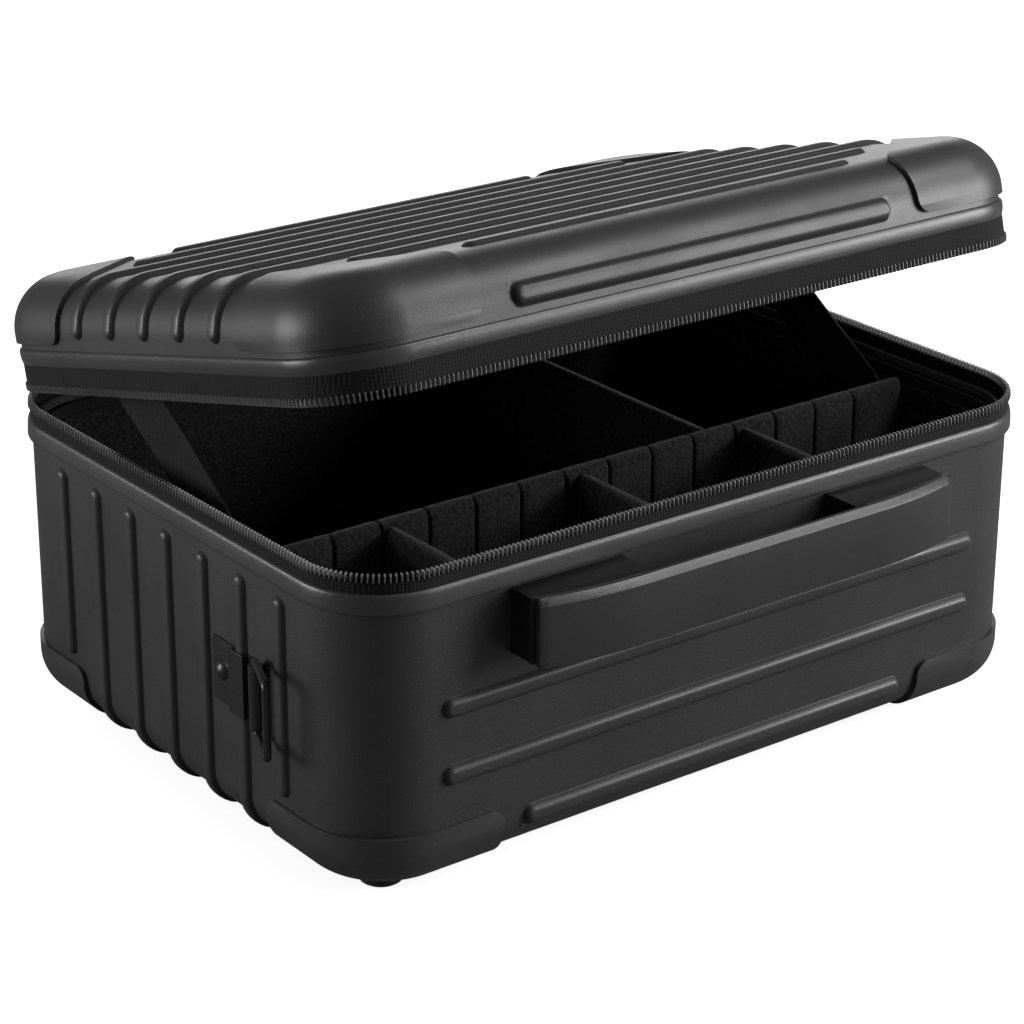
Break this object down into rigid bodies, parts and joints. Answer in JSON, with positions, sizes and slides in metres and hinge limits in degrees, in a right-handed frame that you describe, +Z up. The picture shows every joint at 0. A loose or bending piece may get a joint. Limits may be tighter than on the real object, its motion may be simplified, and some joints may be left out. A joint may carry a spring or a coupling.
{
  "type": "makeup train case",
  "caption": "Hard-shell makeup train case with a zipped lid held by ribbon stays, a front carry handle, strap rings, corner guards and padded dividers.",
  "frame": {"origin": "middle of the whole case's box seen from above, at the underside of the rubber feet, lid ajar as at rest", "axes": "+X along the case's long side, -Y to the front with the carry handle, +Z up"},
  "size_m": [0.367, 0.2882, 0.2389],
  "materials": {
    "shell_plastic": "satin, fine pebbled grain",
    "band_plastic": "satin, smooth",
    "guard_plastic": "satin",
    "foot_rubber": "matte",
    "screw_steel": "zinc plated",
    "lining_fabric": "woven, matte",
    "foam": "brushed cloth over foam",
    "zip_cloth": "woven tape",
    "zip_nylon": "moulded nylon coil",
    "ring_metal": "black, satin",
    "handle_block_plastic": "matte",
    "grip_plastic": "satin",
    "post_steel": "turned",
    "slider_metal": "black nickel"
  },
  "bodies": {
    "body": {"body_shell": "shell_plastic", "body_rim_band": "band_plastic", "body_guard_fl": "guard_plastic", "body_guard_fr": "guard_plastic", "body_guard_bl": "guard_plastic", "body_guard_br": "guard_plastic", "foot_fl": "foot_rubber", "foot_fr": "foot_rubber", "foot_bl": "foot_rubber", "foot_br": "foot_rubber", "foot_screws": "screw_steel", "body_lining": "lining_fabric", "wall_pads": "foam", "floor_pad": "foam", "long_divider": "foam", "front_divider_1": "foam", "front_divider_2": "foam", "front_divider_3": "foam", "rear_divider": "foam", "body_zip_tape": "zip_cloth", "body_zip_chain": "zip_nylon", "zip_end_stops": "zip_nylon", "body_stay_tabs": "zip_cloth", "hinge_tape": "zip_cloth", "stay_left": "zip_cloth", "stay_right": "zip_cloth", "ring_bracket_left": "ring_metal", "ring_bracket_right": "ring_metal", "ring_rivets": "ring_metal", "handle_block_left": "handle_block_plastic", "handle_block_right": "handle_block_plastic", "handle_shim_left": "grip_plastic", "handle_shim_right": "grip_plastic", "handle_screws": "screw_steel", "handle_springs": "post_steel"},
    "lid": {"lid_shell": "shell_plastic", "lid_rim_band": "band_plastic", "lid_guard_fl": "guard_plastic", "lid_guard_fr": "guard_plastic", "lid_guard_bl": "guard_plastic", "lid_guard_br": "guard_plastic", "lid_zip_tape": "zip_cloth", "lid_zip_chain": "zip_nylon", "lid_lining": "lining_fabric", "lid_stay_tabs": "zip_cloth"},
    "handle": {"handle_grip": "grip_plastic", "handle_posts": "post_steel"},
    "ring_left": {"strap_ring_left": "ring_metal"},
    "ring_right": {"strap_ring_right": "ring_metal"},
    "slider_left": {"zip_slider_left": "slider_metal"},
    "slider_right": {"zip_slider_right": "slider_metal"},
    "pull_left": {"zip_pull_left": "slider_metal"},
    "pull_right": {"zip_pull_right": "slider_metal"}
  },
  "joints": [
    {"name": "lid_hinge", "type": "hinge", "parent": "body", "child": "lid", "pos_m": [0, 0.13543, 0.1363], "axis": [-1, 0, 0], "range_deg": [-14.67, 75.33], "deforming": ["hinge_tape", "stay_left", "stay_right"]},
    {"name": "handle_slide", "type": "slide", "parent": "body", "child": "handle", "axis": [0, -1, 0], "range_m": [0, 0.006], "stiffness_N_per_m": 400, "springref_m": -0.005, "deforming": ["handle_springs"]},
    {"name": "ring_left_hinge", "type": "hinge", "parent": "body", "child": "ring_left", "pos_m": [-0.1734, -0.05907, 0.0722], "axis": [0, 0, -1], "range_deg": [-19, 120]},
    {"name": "ring_right_hinge", "type": "hinge", "parent": "body", "child": "ring_right", "pos_m": [0.1734, -0.05907, 0.0722], "axis": [0, 0, 1], "range_deg": [-19, 120]},
    {"name": "slider_left_slide", "type": "slide", "parent": "body", "child": "slider_left", "axis": [-1, 0, 0], "range_m": [0, 0.014]},
    {"name": "slider_right_slide", "type": "slide", "parent": "body", "child": "slider_right", "axis": [1, 0, 0], "range_m": [0, 0.014]},
    {"name": "pull_left_hinge", "type": "hinge", "parent": "slider_left", "child": "pull_left", "pos_m": [-0.113, 0.14033, 0.1328], "axis": [1, 0, 0], "range_deg": [0, 60]},
    {"name": "pull_right_hinge", "type": "hinge", "parent": "slider_right", "child": "pull_right", "pos_m": [0.113, 0.14033, 0.1328], "axis": [1, 0, 0], "range_deg": [0, 60]}
  ]
}
